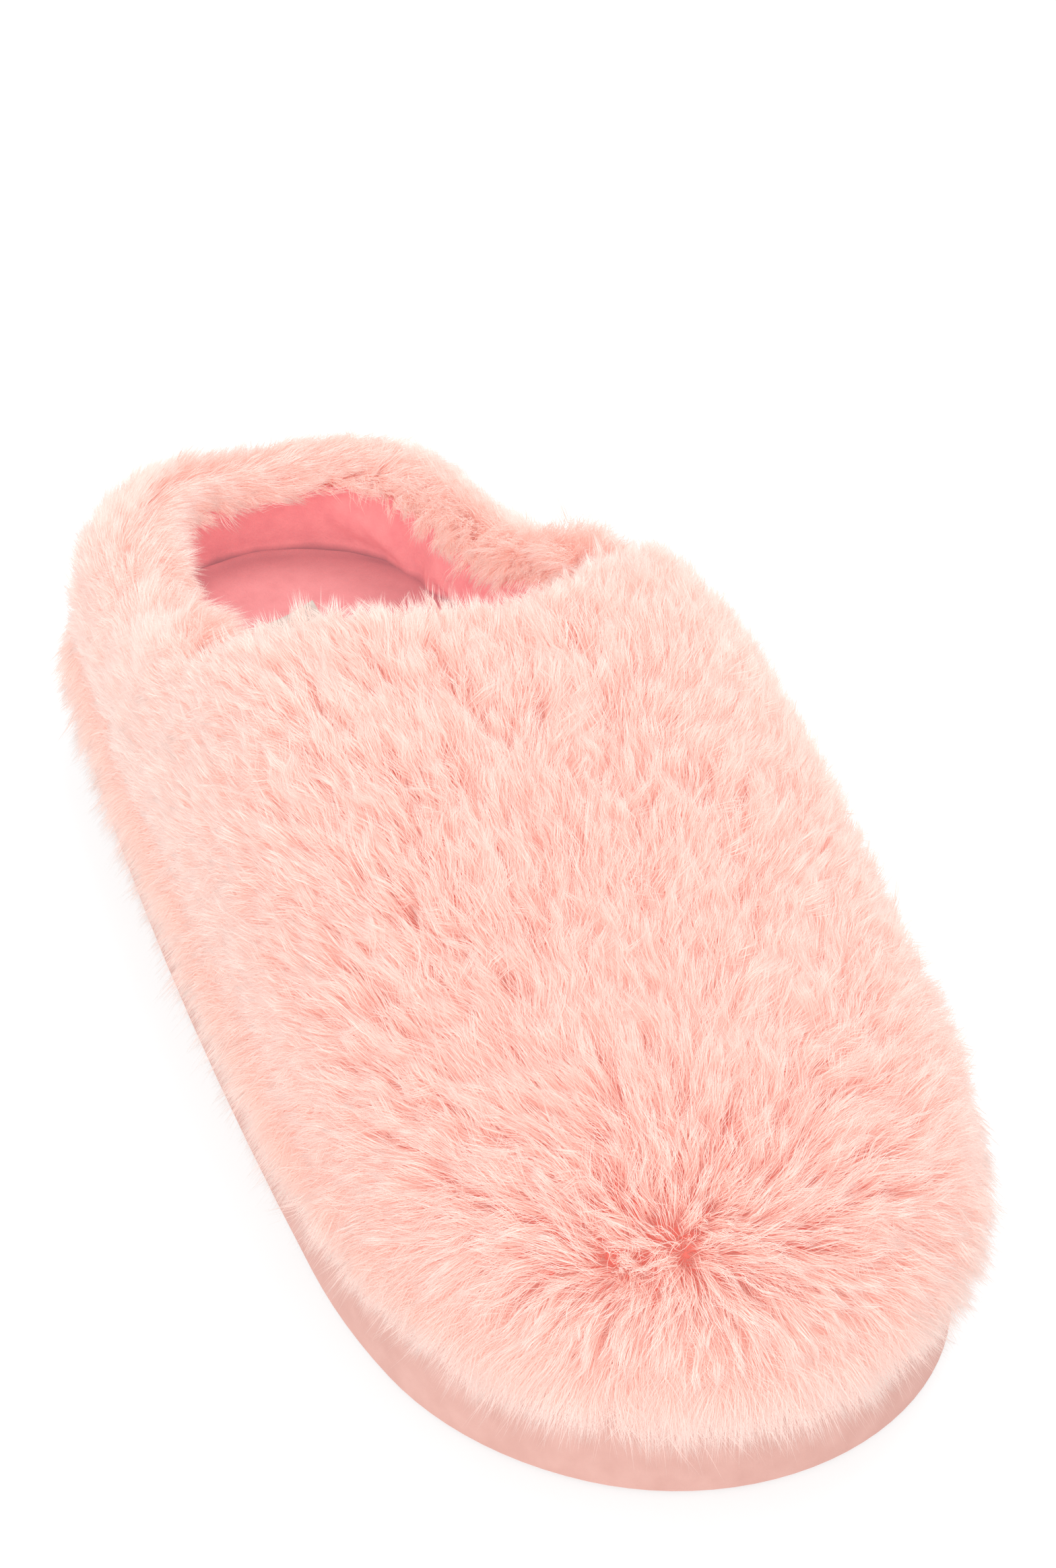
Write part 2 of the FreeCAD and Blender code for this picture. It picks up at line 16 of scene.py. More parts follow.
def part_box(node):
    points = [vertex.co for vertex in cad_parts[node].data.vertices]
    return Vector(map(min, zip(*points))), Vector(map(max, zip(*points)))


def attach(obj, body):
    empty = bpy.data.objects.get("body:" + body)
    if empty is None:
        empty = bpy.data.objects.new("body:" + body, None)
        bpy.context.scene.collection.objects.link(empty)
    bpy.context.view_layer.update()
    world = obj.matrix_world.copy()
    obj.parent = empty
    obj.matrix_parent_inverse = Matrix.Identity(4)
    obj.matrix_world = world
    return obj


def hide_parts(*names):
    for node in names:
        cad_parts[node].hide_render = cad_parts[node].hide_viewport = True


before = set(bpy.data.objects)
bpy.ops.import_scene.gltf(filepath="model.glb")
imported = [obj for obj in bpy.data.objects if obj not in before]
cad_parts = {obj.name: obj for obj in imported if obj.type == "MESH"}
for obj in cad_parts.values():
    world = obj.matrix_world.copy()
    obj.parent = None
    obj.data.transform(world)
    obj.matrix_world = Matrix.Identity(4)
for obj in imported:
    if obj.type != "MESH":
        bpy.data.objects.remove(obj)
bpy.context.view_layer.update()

MM = 0.001
rng = np.random.default_rng(7)

# ---------------------------------------------------------------- the CAD model's own shape, in mm

TURNS = [172, 178.2, 190.6, 228.5, 324, 353.7, 368, 532]   # directions that the outline faces, arc by arc
RADII = [0, 126, 57, 45, 73, 0, 42.5]                      # of the arcs between them, 0 where it follows
HEEL_TOP, THROAT_TOP, TOE_TOP = 58, 89, 58                 # crest of the fur
COLLAR_FRONT, THROAT_FRONT, VAMP_FOOT = 74, -8, -90        # Y where those heights begin
TOE_ROUND, HEEL_ROUND = 44, 42                             # lengths over which the ends round down
TOE_POWER, HEEL_POWER = 2.4, 3.2                           # how bluntly they round down
VAMP_POWER, COLLAR_POWER = 3.4, 4.4                        # squareness of the cross-sections
SQUARE_FRONT, SQUARE_BACK = 16, 44                         # Y between which the squareness changes
FUR_HEM = 12                                               # lowest level of the fur
DOME_BASE = 20                                             # level that inner sections start from
PLATFORM_TOP = 25.4
COVER_TOP = 30.2                                           # of the footbed's cover
LINING_INNER = 13.5                                        # heel lining's inner face, in from the outline
SIDE_SEAM = 30                                             # Y of the seams from vamp to heel piece
FUR_INSET, FUR_DROP = 5, 6.2                               # pile's backing, in and down from its outside
ROLL_INSET, ROLL_RADIUS = 12.0, 4.5                        # where the backing rolls over into the opening
ROLL_TURN = 62                                             # degrees by which it turns down
THROAT_EDGE = -18                                          # Y of the opening's front edge on the backing
THROAT_ROUND = 32.0                                        # how far behind that edge its width is taken


def facing(degrees):
    a = np.radians(degrees)
    return np.stack([np.cos(a), np.sin(a)], -1)


def outline_arcs():
    """Centres and radii of the outline's arcs; the two long side arcs take the radii that close it."""
    ends = facing(np.array(TURNS, float))
    chords = ends[1:] - ends[:-1]
    radii = np.array(RADII, float)
    gap = -(chords * radii[:, None]).sum(0)
    radii[0], radii[5] = np.linalg.solve(np.stack([chords[0], chords[5]], 1), gap)
    centres = []
    point = np.zeros(2)
    for radius, start, end in zip(radii, ends, ends[1:]):
        centres.append(point - start * radius)
        point = centres[-1] + end * radius
    centres = np.array(centres)
    trace = trace_outline(centres, radii, 0)
    return centres - (trace.max(0) + trace.min(0)) / 2, radii


def trace_outline(centres, radii, inset, steps=160):
    """Points round the outline moved in by inset, anticlockwise from the heel's outer side."""
    points = []
    for centre, radius, start, end in zip(centres, radii, TURNS, TURNS[1:]):
        points.append(centre + facing(np.linspace(start, end, steps, endpoint=False)) * (radius - inset))
    return np.concatenate(points)


CENTRES, ARC_RADII = outline_arcs()
HEEL_Y = trace_outline(CENTRES, ARC_RADII, 0)[:, 1].max()
TOE_Y = -HEEL_Y


def half_widths(y, inset):
    """X of the moved-in outline's outer and inner side at each Y."""
    trace = trace_outline(CENTRES, ARC_RADII, inset)
    toe, heel = trace[:, 1].argmin(), trace[:, 1].argmax()
    outer = np.concatenate([trace[heel:], trace[:toe + 1]])
    inner = trace[toe:heel + 1]
    return np.interp(-y, -outer[:, 1], outer[:, 0]), np.interp(y, inner[:, 1], inner[:, 0])


def smooth(t):
    t = np.clip(t, 0, 1)
    return t * t * (3 - 2 * t)


def crest(y):
    """Top of the fur along the slipper's middle."""
    back = HEEL_TOP + (THROAT_TOP - HEEL_TOP) * smooth((COLLAR_FRONT - y) / (COLLAR_FRONT - THROAT_FRONT))
    front = TOE_TOP + (THROAT_TOP - TOE_TOP) * smooth((y - VAMP_FOOT) / (THROAT_FRONT - VAMP_FOOT))
    return np.where(y >= THROAT_FRONT, back, front)


def end_round(y, inset):
    """How far the crest has risen from the slipper's two ends, 0 to 1."""
    toe = np.clip((y - TOE_Y - inset) / TOE_ROUND, 0, 1)
    heel = np.clip((HEEL_Y - inset - y) / HEEL_ROUND, 0, 1)
    at_toe = (1 - (1 - toe) ** TOE_POWER) ** (1 / TOE_POWER)
    at_heel = (1 - (1 - heel) ** HEEL_POWER) ** (1 / HEEL_POWER)
    return at_toe * at_heel


def squareness(y):
    share = smooth((y - SQUARE_FRONT) / (SQUARE_BACK - SQUARE_FRONT))
    return VAMP_POWER + (COLLAR_POWER - VAMP_POWER) * share


def dome(y, angle, inset, drop, base):
    """A point of the upper's shell: y along the slipper, angle 0 to pi from inner to outer side."""
    outer, inner = half_widths(y, inset)
    top = (crest(y) - drop - base) * end_round(y, inset)
    power = 2 / squareness(y)
    across = np.sign(np.cos(angle)) * np.abs(np.cos(angle)) ** power
    up = np.clip(np.sin(angle), 0, 1) ** power
    x = (outer + inner) / 2 + across * (inner - outer) / 2
    return np.stack([x, y + 0 * x, base + top * up], -1)


def dome_height(x, y, inset, drop, base):
    """Height of that shell above a place in plan."""
    outer, inner = half_widths(y, inset)
    u = np.clip(np.abs(x - (outer + inner) / 2) / ((inner - outer) / 2), 0, 1)
    top = (crest(y) - drop - base) * end_round(y, inset)
    return base + top * (1 - u ** squareness(y)) ** (1 / squareness(y))


def skin_height(x, y):
    """Height of the fur's backing."""
    return dome_height(x, y, FUR_INSET, FUR_DROP, DOME_BASE)


# ---------------------------------------------------------------- mesh helpers

def new_object(name, verts, faces, material):
    mesh = bpy.data.meshes.new(name)
    mesh.from_pydata([tuple(v) for v in np.asarray(verts) * MM], [], [tuple(f) for f in faces])
    mesh.validate()
    mesh.polygons.foreach_set("use_smooth", [True] * len(mesh.polygons))
    item = bpy.data.objects.new(name, mesh)
    bpy.context.collection.objects.link(item)
    mesh.materials.append(material)
    return item


def grid_faces(rows, columns, around=False):
    """Quads of a grid of points; around joins its last row to its first."""
    i, j = np.meshgrid(np.arange(rows if around else rows - 1), np.arange(columns - 1), indexing="ij")
    k = (i + 1) % rows
    quads = [i * columns + j, k * columns + j, k * columns + j + 1, i * columns + j + 1]
    return np.stack(quads, -1).reshape(-1, 4)


def only_used(verts, faces):
    """The mesh without the points that no face uses."""
    used = np.unique(faces)
    number = np.zeros(len(verts), int)
    number[used] = np.arange(len(used))
    return verts[used], number[faces]


def thicken(item, thickness):
    """Gives an open surface this thickness, in mm, on its inner side."""
    solid = item.modifiers.new("thickness", "SOLIDIFY")
    solid.thickness = thickness * MM
    solid.offset = -1


def belong(item, node=None):
    """Fixes a piece to the slipper, and hides the CAD node that it stands for."""
    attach(item, "root")
    if node:
        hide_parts(node)


# ---------------------------------------------------------------- materials

def principled(name):
    material = bpy.data.materials.new(name)
    material.use_nodes = True
    shader = material.node_tree.nodes["Principled BSDF"]
    return material, material.node_tree, shader


def colour(hex_text):
    """A display colour as the linear numbers that a shader takes."""
    parts = [int(hex_text[i:i + 2], 16) / 255 for i in (0, 2, 4)]
    return [*(c / 12.92 if c <= 0.04045 else ((c + 0.055) / 1.055) ** 2.4 for c in parts), 1]


def ramp(tree, stops, factor):
    node = tree.nodes.new("ShaderNodeValToRGB")
    elements = node.color_ramp.elements
    for (place, shade), element in zip(stops, [elements[0], elements[1]]):
        element.position = place
        element.color = colour(shade)
    for place, shade in stops[2:]:
        elements.new(place).color = colour(shade)
    tree.links.new(factor, node.inputs["Fac"])
    return node.outputs["Color"]


# painted light: strength of the fur's even glow
PILE_PAINTED_GLOW = 0.33


def fur_material():
    """Pile coloured along each strand, a little deeper at the roots, with strands unlike each other, and a
    painted glow.
    """
    material, tree, shader = principled("fur")
    uv = tree.nodes.new("ShaderNodeUVMap")
    uv.uv_map = "OFBake"
    split = tree.nodes.new("ShaderNodeSeparateXYZ")
    tree.links.new(uv.outputs["UV"], split.inputs[0])
    warm = ramp(tree, [(0.0, "E28379"), (1.0, "EECEC5"), (0.4, "E9B4AA")], split.outputs["Y"])
    pale = ramp(tree, [(0.0, "E8A79C"), (1.0, "EFE1DB"), (0.4, "EDCCC4")], split.outputs["Y"])
    mix = tree.nodes.new("ShaderNodeMix")
    mix.data_type = "RGBA"
    tree.links.new(split.outputs["X"], mix.inputs["Factor"])
    tree.links.new(warm, mix.inputs["A"])
    tree.links.new(pale, mix.inputs["B"])
    tree.links.new(mix.outputs["Result"], shader.inputs["Base Color"])
    shader.inputs["Roughness"].default_value = 0.6
    shader.inputs["Specular IOR Level"].default_value = 0.3
    # painted light: the fur glows evenly in a pale shade
    painted_glow(shader, "E2BBAE", PILE_PAINTED_GLOW)
    return material


def noise(tree, cell, detail):
    """Noise over the object's own place, with features of about cell millimetres."""
    place = tree.nodes.new("ShaderNodeTexCoord")
    texture = tree.nodes.new("ShaderNodeTexNoise")
    texture.inputs["Scale"].default_value = 1 / (cell * MM)
    texture.inputs["Detail"].default_value = detail
    tree.links.new(place.outputs["Object"], texture.inputs["Vector"])
    return texture.outputs["Fac"]


def bump(tree, shader, height, depth, strength=0.6):
    """Bump of this depth, in mm, on top of any that the shader has."""
    node = tree.nodes.new("ShaderNodeBump")
    node.inputs["Strength"].default_value = strength
    node.inputs["Distance"].default_value = depth * MM
    tree.links.new(height, node.inputs["Height"])
    if shader.inputs["Normal"].links:
        tree.links.new(shader.inputs["Normal"].links[0].from_socket, node.inputs["Normal"])
    tree.links.new(node.outputs["Normal"], shader.inputs["Normal"])


def painted_glow(shader, shade, strength):
    """Painted light: an even glow that stands in for light passed on from strand to strand, and lifts shaded
    places.
    """
    shader.inputs["Emission Color"].default_value = colour(shade)
    shader.inputs["Emission Strength"].default_value = strength


def soft_material(name, shades, mottle, grain, depth, rough=0.95, sheen=0.0):
    """A soft or moulded stuff: three shades in patches of mottle mm, and a surface grain of this depth."""
    material, tree, shader = principled(name)
    low, middle, high = shades
    patches = ramp(tree, [(0.3, low), (0.7, high), (0.5, middle)], noise(tree, mottle, 3))
    tree.links.new(patches, shader.inputs["Base Color"])
    bump(tree, shader, noise(tree, grain, 4), depth)
    shader.inputs["Roughness"].default_value = rough
    shader.inputs["Sheen Weight"].default_value = sheen
    shader.inputs["Sheen Tint"].default_value = colour(high)
    return material, tree, shader


def skin_material():
    """The knitted backing between the roots of the pile, with a painted glow like the pile's."""
    material, _, shader = soft_material("fur_backing", ("DE7468", "E27C70", "E88579"), 4, 0.8, 0.2)
    # painted light: the backing glows evenly
    painted_glow(shader, "EE9A8E", 0.16)
    return material


def suede_material():
    """Napped microfibre round the platform: fine nap, brushed patches and a faint weave below, and a painted
    glow that lightens it where it lies in shade.
    """
    shades = ("B0887F", "B58E85", "BA948B")
    material, tree, shader = soft_material("suede", shades, 5, 0.35, 0.12, 0.95, 0.25)
    # painted light: the suede glows evenly
    painted_glow(shader, "F8B8AC", 0.2)
    bump(tree, shader, noise(tree, 2.2, 2), 0.12, 0.4)
    return material


def paint_crease_shade(tree, shader):
    """Painted shade: the plush darkens down towards the crease where the footbed meets the lining."""
    place = tree.nodes.new("ShaderNodeTexCoord")
    split = tree.nodes.new("ShaderNodeSeparateXYZ")
    level = tree.nodes.new("ShaderNodeMapRange")
    level.inputs["From Min"].default_value = (COVER_TOP - 1.8) * MM
    level.inputs["From Max"].default_value = (COVER_TOP + 8) * MM
    mix = tree.nodes.new("ShaderNodeMix")
    mix.data_type = "RGBA"
    mix.blend_type = "MULTIPLY"
    mix.inputs["Factor"].default_value = 1.0
    tree.links.new(place.outputs["Object"], split.inputs[0])
    tree.links.new(split.outputs["Z"], level.inputs["Value"])
    # painted shade: darkest at the crease, fading to white above it
    depth = ramp(tree, [(0.0, "A05054"), (1.0, "FFFFFF"), (0.16, "F6EEEE")], level.outputs["Result"])
    tree.links.new(shader.inputs["Base Color"].links[0].from_socket, mix.inputs["A"])
    tree.links.new(depth, mix.inputs["B"])
    tree.links.new(mix.outputs["Result"], shader.inputs["Base Color"])


def plush_material(name, shades, light):
    """Short warm plush: matted tufts about a millimetre across under a soft sheen, with a painted glow and
    painted shade in the crease.
    """
    material, tree, shader = soft_material(name, shades, 3.5, 0.5, 0.35, 1.0, 0.35)
    bump(tree, shader, noise(tree, 1.6, 3), 0.5, 0.5)
    # painted light: the plush glows evenly with this strength
    painted_glow(shader, "F4A8B0", light)
    # painted shade in the crease
    paint_crease_shade(tree, shader)
    return material


WAVE_SCALE = 0.314                                         # of a wave texture that repeats once a metre


def woven_material(name, shades, thread, depth=0.12):
    """Cloth of crossing threads, each this many mm wide and this deep."""
    material, tree, shader = soft_material(name, shades, 2, thread, 0.03, 0.85)
    place = tree.nodes.new("ShaderNodeTexCoord")
    for direction in ("X", "Y"):
        wave = tree.nodes.new("ShaderNodeTexWave")
        wave.bands_direction = direction
        wave.inputs["Scale"].default_value = WAVE_SCALE / (thread * MM)
        wave.inputs["Distortion"].default_value = 0.6
        tree.links.new(place.outputs["Object"], wave.inputs["Vector"])
        bump(tree, shader, wave.outputs["Fac"], depth)
    return material


FUR = fur_material()
SKIN = skin_material()
SUEDE = suede_material()
# the plushes' last number is the strength of their painted glow
LINING = plush_material("lining_plush", ("DC8A8A", "E29492", "E89E9A"), 0.3)
FOOTBED = plush_material("footbed_plush", ("D4908D", "DA9895", "DE9E9B"), 0.32)
RUBBER = soft_material("rubber", ("D6A298", "DAA89E", "DEAEA4"), 8, 0.6, 0.06, 0.65)[0]
FOAM = soft_material("foam", ("E9DCCF", "F0E4D8", "F5EBE1"), 4, 0.7, 0.3, 0.95)[0]
BOARD = soft_material("board", ("BFA98C", "CBB699", "D6C3A8"), 3, 0.4, 0.08, 0.9)[0]
THREAD = woven_material("thread", ("D98C80", "DF978B", "E5A297"), 0.2)
TAPE = woven_material("tape", ("E3CFC6", "EBD9D1", "F2E3DC"), 0.5)
LABEL = woven_material("label", ("BDB4AA", "C6BDB3", "CFC7BE"), 0.22, 0.03)


# ---------------------------------------------------------------- fur

WHORL = [((-16.5, -126, 36), 1.0),                         # where the pile parts over the toe, and how hard
         ((-33, -117.5, 33), 0.35), ((-27, -120, 38), 0.45), ((-15.5, -121, 43.5), 0.6),
         ((-10, -118.5, 46), 0.4), ((0.5, -129.5, 32), 0.35)]
PILE_LENGTH = 11.0
PILE_HEIGHT = 7.0
LOW_LENGTH, LOW_HEIGHT = 13.5, 4.4                         # of the fur near the hem
THROAT_LENGTH, THROAT_HEIGHT = 8.0, 4.4
HEM_BOTTOM, HEM_RISE = 21.0, 8.0                           # lowest level of the hem's backing, and its rise
HEM_HEIGHT = 1.7
FRINGE_TOP, FRINGE_DEPTH = 37, 8                           # where the fringe begins, and over what drop
TOE_FRONT = -112                                           # Y where the fringe of the toe's tip begins
BOW = 0.6                                                  # how far strands bow sideways, in mm
SWAY = 0.4                                                 # how far they wave to and fro, in mm
LIE = 1.35                                                 # how late along its length a strand lies over
TURN, STRAY = 0.38, 0.16                                   # how far clumps and single strands leave the flow
CLUMP_GROWTH, LENGTH_SPREAD, HEIGHT_SPREAD = 0.11, 0.08, 0.14
CLUMP_SHADE, STRAND_SHADE = 0.17, 0.15                     # spread of paleness over clumps and strands
BROAD_WAVES, FINE_WAVES = (22, 10), (7, 4.5)               # lengths of the drift in the pile's direction
RINGS = (0.0, 0.36, 0.7)                                   # where along a strand its rings lie
RING_RADII = (1.0, 0.95, 0.7)                              # of those rings, in strand radii
STRAND_RADIUS = 0.062
DENSITY = 6.5                   # strands per square millimetre of backing
CLUMPS = [(1.25, 0.52), (3.2, 0.2)]                        # distance from clump to clump, and its pull
PIECE_STRANDS = 12500                                      # most strands in one piece


def unit(vectors):
    return vectors / np.maximum(np.linalg.norm(vectors, axis=-1, keepdims=True), 1e-9)


def tangent(vectors, normals):
    return vectors - normals * (vectors * normals).sum(-1, keepdims=True)


def sample(verts, faces, crowd=1.0):
    """Random roots over a grid's faces, crowd times as dense: place, normal, and the columns' direction."""
    a, b, c, d = (verts[faces[:, k]] for k in range(4))
    normal = np.cross(c - a, d - b)
    area = np.linalg.norm(normal, axis=1) / 2
    normal /= np.maximum(2 * area, 1e-9)[:, None]
    area = area * crowd
    pick = rng.choice(len(faces), int(area.sum() * DENSITY), p=area / area.sum())
    u, v = rng.random(len(pick))[:, None], rng.random(len(pick))[:, None]
    place = (a[pick] * (1 - u) + b[pick] * u) * (1 - v) + (d[pick] * (1 - u) + c[pick] * u) * v
    return place, normal[pick], unit((d - a + c - b)[pick])


def away_from_whorl(points):
    """Directions in which the pile is combed."""
    flow = np.zeros_like(points)
    for place, weight in WHORL:
        gap = points - np.array(place, float)
        flow += weight * gap / ((gap ** 2).sum(-1, keepdims=True) + 9)
    return unit(flow)


def parting(points):
    """1 at the partings of the whorl, falling to 0 at 9 mm from them."""
    distances = [np.linalg.norm(points - np.array(place, float), axis=1) for place, _ in WHORL]
    return smooth(1 - np.min(distances, axis=0) / 9)


def waves(points, lengths, seed):
    """Smooth random vectors over space, from a few sine waves of each length."""
    local = np.random.default_rng(seed)
    total = np.zeros((len(points), 3))
    for length in lengths:
        for _ in range(5):
            direction = unit(local.normal(size=3))
            phase = local.random(3) * 2 * math.pi
            total += np.sin((points @ direction)[:, None] * (2 * math.pi / length) + phase)
    return total / (5 * len(lengths)) ** 0.5


def leaders(roots, spacing):
    """For each root, the number of the nearest of the few strands that lead clumps this far apart."""
    count = len(roots)
    chosen = rng.choice(count, max(int(count / (DENSITY * spacing ** 2)), 1), replace=False)
    tree = KDTree(len(chosen))
    for index, place in enumerate(roots[chosen]):
        tree.insert(place, index)
    tree.balance()
    return chosen[np.array([tree.find(place)[1] for place in roots])]


def paleness(roots):
    """How much of the pale shade the pile has: most over the collar, least on top of the toe. The collar's
    paleness is partly the pile's own tone and partly painted light; the extra paleness at the whorl's
    partings and near the hem is painted light that lifts the shade deep in the pile.
    """
    back = smooth((roots[:, 1] + 110) / 150)
    side = smooth((roots[:, 0] - 5) / 35) * (1 - back)
    low = smooth((45 - roots[:, 2]) / 20)
    # painted light: the low and parting terms lift shade, and the collar term partly does
    return 0.3 + 0.45 * back + 0.25 * side + 0.28 * low + 0.2 * parting(roots)


def grow(name, roots, normals, flow, length, height, gather=1.0):
    """Fur from its roots: strands that lie over along the flow and gather into clumps at two scales."""
    count = len(roots)
    wild = 0.26 + 0.5 * parting(roots)[:, None]
    near = leaders(roots, CLUMPS[0][0])
    growth = np.clip(1 + CLUMP_GROWTH * rng.normal(size=count), 0.6, 1.4)
    turn = TURN * rng.normal(size=roots.shape)
    drift = 0.26 * waves(roots, BROAD_WAVES, 3) + wild * waves(roots, FINE_WAVES, 5)
    flow = flow + drift + STRAY * rng.normal(size=roots.shape) + turn[near]
    flow = unit(tangent(flow, normals))
    length = length * growth[near] * np.clip(1 + LENGTH_SPREAD * rng.normal(size=count), 0.6, 1.2)
    height = height * growth[near] * np.clip(1 + HEIGHT_SPREAD * rng.normal(size=count), 0.5, 1.4)
    over = np.sqrt(np.maximum(length ** 2 - height ** 2, 1))
    bow = BOW * (rng.normal(size=count)[near] + 0.35 * rng.normal(size=count))
    across = np.cross(normals, flow)
    steps = np.array([*RINGS, 1.0])[:, None, None]
    line = (roots + normals * height[:, None] * (1 - (1 - steps) ** LIE)
            + flow * over[:, None] * steps ** LIE + across * bow[:, None] * 4 * steps * (1 - steps))
    sway = SWAY * (rng.normal(size=count)[near] + 0.5 * rng.normal(size=count)) * length / PILE_LENGTH
    line = line + across * sway[:, None] * np.sin(2 * math.pi * steps)
    for lead, (_, pull) in zip([near, leaders(roots, CLUMPS[1][0])], CLUMPS):
        firmness = np.clip(1 + 0.35 * rng.normal(size=count), 0.2, 1.6)[lead]
        grip = gather * pull * firmness[:, None] * steps ** 1.2
        line = line + (line[:, lead] - line) * grip
    shade = paleness(roots) + CLUMP_SHADE * rng.normal(size=count)[near]
    shade = np.clip(shade + STRAND_SHADE * rng.normal(size=count), 0.03, 0.97)
    for part, start in enumerate(range(0, count, PIECE_STRANDS)):
        chosen = slice(start, start + PIECE_STRANDS)
        strand_mesh(f"{name}_{part + 1:02d}", line[:, chosen], normals[chosen], shade[chosen])


def strand_mesh(name, line, normals, shade):
    """One piece of fur: every strand a three-sided tube along its line, closed at the root and the tip."""
    levels, count = line.shape[:2]
    heading = unit(line[2] - line[0])
    side = unit(np.cross(heading, normals))
    other = np.cross(heading, side)
    rings = []
    for level in range(levels - 1):
        for corner in range(3):
            angle = corner * 2 * math.pi / 3
            outward = math.cos(angle) * side + math.sin(angle) * other
            rings.append(line[level] + STRAND_RADIUS * RING_RADII[level] * outward)
    verts = np.stack([*rings, line[-1]], 1)
    per = verts.shape[1]
    quads = []
    for level in range(levels - 2):
        for corner in range(3):
            a = level * 3 + corner
            b = level * 3 + (corner + 1) % 3
            quads.append((a, b, b + 3, a + 3))
    last = (levels - 2) * 3
    tris = [(last + corner, last + (corner + 1) % 3, per - 1) for corner in range(3)] + [(2, 1, 0)]
    base = (np.arange(count) * per)[:, None, None]
    quad_loops = (np.array(quads)[None] + base).reshape(-1)
    tri_loops = (np.array(tris)[None] + base).reshape(-1)
    n_quads, n_tris = count * len(quads), count * len(tris)
    mesh = bpy.data.meshes.new(name)
    mesh.vertices.add(count * per)
    mesh.vertices.foreach_set("co", (verts.reshape(-1, 3) * MM).ravel().astype(np.float32))
    loops = np.concatenate([quad_loops, tri_loops])
    mesh.loops.add(len(loops))
    mesh.loops.foreach_set("vertex_index", loops.astype(np.int32))
    mesh.polygons.add(n_quads + n_tris)
    starts = np.concatenate([np.arange(n_quads) * 4, n_quads * 4 + np.arange(n_tris) * 3])
    mesh.polygons.foreach_set("loop_start", starts.astype(np.int32))
    mesh.polygons.foreach_set("use_smooth", np.ones(n_quads + n_tris, dtype=bool))
    mesh.update(calc_edges=True)
    v = np.concatenate([np.repeat(RINGS, 3), [1.0]])
    u = np.concatenate([np.tile([-0.012, 0.0, 0.012], levels - 1), [0.0]])
    vert_uv = np.stack([shade[:, None] + u[None], np.repeat(v[None], count, 0)], -1).reshape(-1, 2)
    layer = mesh.uv_layers.new(name="OFBake")
    layer.data.foreach_set("uv", np.clip(vert_uv[loops], 0.002, 0.998).astype(np.float32).ravel())
    mesh.materials.append(FUR)
    item = bpy.data.objects.new(name, mesh)
    bpy.context.collection.objects.link(item)
    belong(item)


def backing(name, verts, faces, node=None):
    """The fur's knitted backing, 1 mm thick on its inner side."""
    item = new_object(name, *only_used(verts, faces), SKIN)
    thicken(item, 1.0)
    belong(item, node)


def opening_depth(points, inset):
    """How far inside the foot opening's plan each point lies, negative outside it."""
    outer, inner = half_widths(points[:, 1], inset)
    sideways = np.minimum(points[:, 0] - outer, inner - points[:, 0])
    centre, radius = throat_circle(inset)
    ahead = points[:, 1] < centre[1]
    round_front = radius - np.linalg.norm(points[:, :2] - centre, axis=1)
    return np.minimum(np.where(ahead, round_front, sideways), HEEL_Y - inset - points[:, 1])


def throat_circle(inset):
    """Centre and radius of the round that the foot opening's front edge follows, moved in by inset."""
    outer, inner = (side[0] for side in half_widths(np.array([THROAT_EDGE + THROAT_ROUND]), ROLL_INSET))
    radius = (inner - outer) / 2
    return np.array([(outer + inner) / 2, THROAT_EDGE + radius]), radius - (inset - ROLL_INSET)


def vamp_skin():
    """Backing of the vamp's fur: a grid over the dome, without its faces over the foot opening."""
    rows, columns = 170, 130
    first, last = TOE_Y + FUR_INSET + 0.3, SIDE_SEAM
    y = first + (last - first) * (1 - np.cos(np.linspace(0, math.pi / 2, rows)))
    angle = np.linspace(0, math.pi, columns)
    verts = dome(y[:, None], angle[None], FUR_INSET, FUR_DROP, DOME_BASE).reshape(-1, 3)
    faces = grid_faces(rows, columns)
    middle = verts[faces].mean(1)
    keep = (opening_depth(middle, ROLL_INSET) < 0) & (middle[:, 2] > PLATFORM_TOP - 0.5)
    return verts, faces[keep]


def low_reach(roots, height):
    """The longest that low strands may be, so that they end with the fringe."""
    return np.maximum(roots[:, 2] - hem_level(roots) + 1, height + 0.5)


def grow_vamp():
    """The vamp's fur, combed away from the whorl and down over the platform's edge."""
    verts, faces = vamp_skin()
    backing("vamp_fur_backing", verts, faces, "vamp_fur")
    roots, normals, _ = sample(verts, faces, 1 + 1.3 * parting(verts[faces].mean(1)))
    low = smooth((42 - roots[:, 2]) / 14)
    fringe = smooth((FRINGE_TOP - roots[:, 2]) / FRINGE_DEPTH)
    front = smooth((TOE_FRONT - roots[:, 1]) / 10)
    edge = smooth(1 + opening_depth(roots, ROLL_INSET) / 9)
    apart = parting(roots + normals * 4)
    flow = away_from_whorl(roots)
    flow[:, 2] -= 1.4 * low
    flow[:, 1] += 0.1 * edge
    length = (PILE_LENGTH + (LOW_LENGTH - PILE_LENGTH) * low) * (1 - 0.14 * edge) * (1 - 0.3 * apart)
    height = PILE_HEIGHT + (LOW_HEIGHT - PILE_HEIGHT) * low + (2.8 + 1.6 * front) * fringe
    height += (0.9 * length - height) * apart
    length = np.minimum(length, low_reach(roots, height))
    grow("vamp_pile", roots, normals, flow, length, height)


